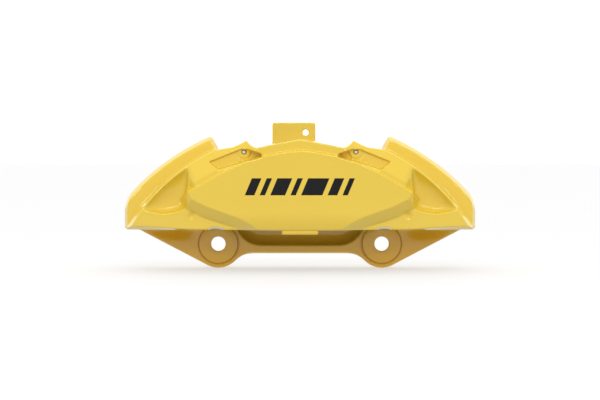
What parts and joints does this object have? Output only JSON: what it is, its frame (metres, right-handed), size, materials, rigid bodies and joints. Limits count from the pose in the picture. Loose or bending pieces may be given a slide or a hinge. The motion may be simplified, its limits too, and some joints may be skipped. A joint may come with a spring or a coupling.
{
  "type": "brake caliper",
  "caption": "Fixed opposed-piston disc brake caliper with axial mounting ears, brake pads on pins, pistons that push the pads together, and bleed screws.",
  "frame": {"origin": "midway between the two mounting holes, on the inboard mounting face of the ears; the disc's middle plane is at y = -0.045 m and the disc's axis is 0.095 m below the origin", "axes": "+X along the caliper, +Y along the disc's axis towards the knuckle (inboard), +Z away from the disc's axis; the printed outboard face looks towards -Y"},
  "size_m": [0.336, 0.1675, 0.1425],
  "materials": {
    "paint": "gloss",
    "zinc_steel": "satin",
    "pin_steel": "satin",
    "spring_steel": "satin",
    "insert_steel": "satin",
    "piston_aluminium": "satin",
    "friction": "matte",
    "plate_paint": "satin",
    "shim": "satin",
    "seal_rubber": "matte",
    "boot_rubber": "matte"
  },
  "bodies": {
    "caliper_body": {"outboard_housing": "paint", "inboard_housing": "paint", "bridge_bolts": "zinc_steel", "crossover_o_rings": "seal_rubber", "pad_pins": "pin_steel", "pin_collars": "spring_steel", "anti_rattle_spring": "spring_steel", "abutment_plates": "spring_steel", "abutment_screws": "zinc_steel", "piston_seal_outboard_leading": "seal_rubber", "piston_seal_outboard_middle": "seal_rubber", "piston_seal_outboard_trailing": "seal_rubber", "piston_seal_inboard_leading": "seal_rubber", "piston_seal_inboard_middle": "seal_rubber", "piston_seal_inboard_trailing": "seal_rubber", "dust_boot_outboard_leading": "boot_rubber", "dust_boot_outboard_middle": "boot_rubber", "dust_boot_outboard_trailing": "boot_rubber", "dust_boot_inboard_leading": "boot_rubber", "dust_boot_inboard_middle": "boot_rubber", "dust_boot_inboard_trailing": "boot_rubber"},
    "pad_outboard": {"friction_outboard": "friction", "pad_plate_outboard": "plate_paint", "pad_shim_outboard": "shim"},
    "pad_inboard": {"friction_inboard": "friction", "pad_plate_inboard": "plate_paint", "pad_shim_inboard": "shim"},
    "piston_outboard_leading": {"piston_outboard_leading": "piston_aluminium", "piston_insert_outboard_leading": "insert_steel"},
    "piston_outboard_middle": {"piston_outboard_middle": "piston_aluminium", "piston_insert_outboard_middle": "insert_steel"},
    "piston_outboard_trailing": {"piston_outboard_trailing": "piston_aluminium", "piston_insert_outboard_trailing": "insert_steel"},
    "piston_inboard_leading": {"piston_inboard_leading": "piston_aluminium", "piston_insert_inboard_leading": "insert_steel"},
    "piston_inboard_middle": {"piston_inboard_middle": "piston_aluminium", "piston_insert_inboard_middle": "insert_steel"},
    "piston_inboard_trailing": {"piston_inboard_trailing": "piston_aluminium", "piston_insert_inboard_trailing": "insert_steel"},
    "bleed_screw_left": {"bleed_screw_left": "zinc_steel"},
    "bleed_cap_left": {"bleed_cap_left": "boot_rubber"},
    "bleed_screw_right": {"bleed_screw_right": "zinc_steel"},
    "bleed_cap_right": {"bleed_cap_right": "boot_rubber"}
  },
  "joints": [
    {"name": "pad_outboard_slide", "type": "slide", "parent": "caliper_body", "child": "pad_outboard", "axis": [0, 1, 0], "range_m": [0, 0.0095]},
    {"name": "pad_inboard_slide", "type": "slide", "parent": "caliper_body", "child": "pad_inboard", "axis": [0, -1, 0], "range_m": [0, 0.0095]},
    {"name": "piston_outboard_leading_slide", "type": "slide", "parent": "caliper_body", "child": "piston_outboard_leading", "axis": [0, 1, 0], "range_m": [0, 0.0095], "deforming": ["dust_boot_outboard_leading"]},
    {"name": "piston_outboard_middle_slide", "type": "slide", "parent": "caliper_body", "child": "piston_outboard_middle", "axis": [0, 1, 0], "range_m": [0, 0.0095], "deforming": ["dust_boot_outboard_middle"]},
    {"name": "piston_outboard_trailing_slide", "type": "slide", "parent": "caliper_body", "child": "piston_outboard_trailing", "axis": [0, 1, 0], "range_m": [0, 0.0095], "deforming": ["dust_boot_outboard_trailing"]},
    {"name": "piston_inboard_leading_slide", "type": "slide", "parent": "caliper_body", "child": "piston_inboard_leading", "axis": [0, -1, 0], "range_m": [0, 0.0095], "deforming": ["dust_boot_inboard_leading"]},
    {"name": "piston_inboard_middle_slide", "type": "slide", "parent": "caliper_body", "child": "piston_inboard_middle", "axis": [0, -1, 0], "range_m": [0, 0.0095], "deforming": ["dust_boot_inboard_middle"]},
    {"name": "piston_inboard_trailing_slide", "type": "slide", "parent": "caliper_body", "child": "piston_inboard_trailing", "axis": [0, -1, 0], "range_m": [0, 0.0095], "deforming": ["dust_boot_inboard_trailing"]},
    {"name": "bleed_screw_left_turn", "type": "hinge", "parent": "caliper_body", "child": "bleed_screw_left", "pos_m": [-0.10354, 0.025, 0.05951], "axis": [0, 1, 0], "range_deg": [-180, 0]},
    {"name": "bleed_cap_left_pull", "type": "slide", "parent": "bleed_screw_left", "child": "bleed_cap_left", "axis": [0, 1, 0], "range_m": [0, 0.015]},
    {"name": "bleed_screw_right_turn", "type": "hinge", "parent": "caliper_body", "child": "bleed_screw_right", "pos_m": [0.10354, 0.025, 0.05951], "axis": [0, 1, 0], "range_deg": [-180, 0]},
    {"name": "bleed_cap_right_pull", "type": "slide", "parent": "bleed_screw_right", "child": "bleed_cap_right", "axis": [0, 1, 0], "range_m": [0, 0.015]}
  ],
  "couplings": [
    {"joint": "pad_inboard_slide", "follows": "pad_outboard_slide", "ratio": 1},
    {"joint": "piston_outboard_leading_slide", "follows": "pad_outboard_slide", "ratio": 1},
    {"joint": "piston_outboard_middle_slide", "follows": "pad_outboard_slide", "ratio": 1},
    {"joint": "piston_outboard_trailing_slide", "follows": "pad_outboard_slide", "ratio": 1},
    {"joint": "piston_inboard_leading_slide", "follows": "pad_outboard_slide", "ratio": 1},
    {"joint": "piston_inboard_middle_slide", "follows": "pad_outboard_slide", "ratio": 1},
    {"joint": "piston_inboard_trailing_slide", "follows": "pad_outboard_slide", "ratio": 1}
  ]
}
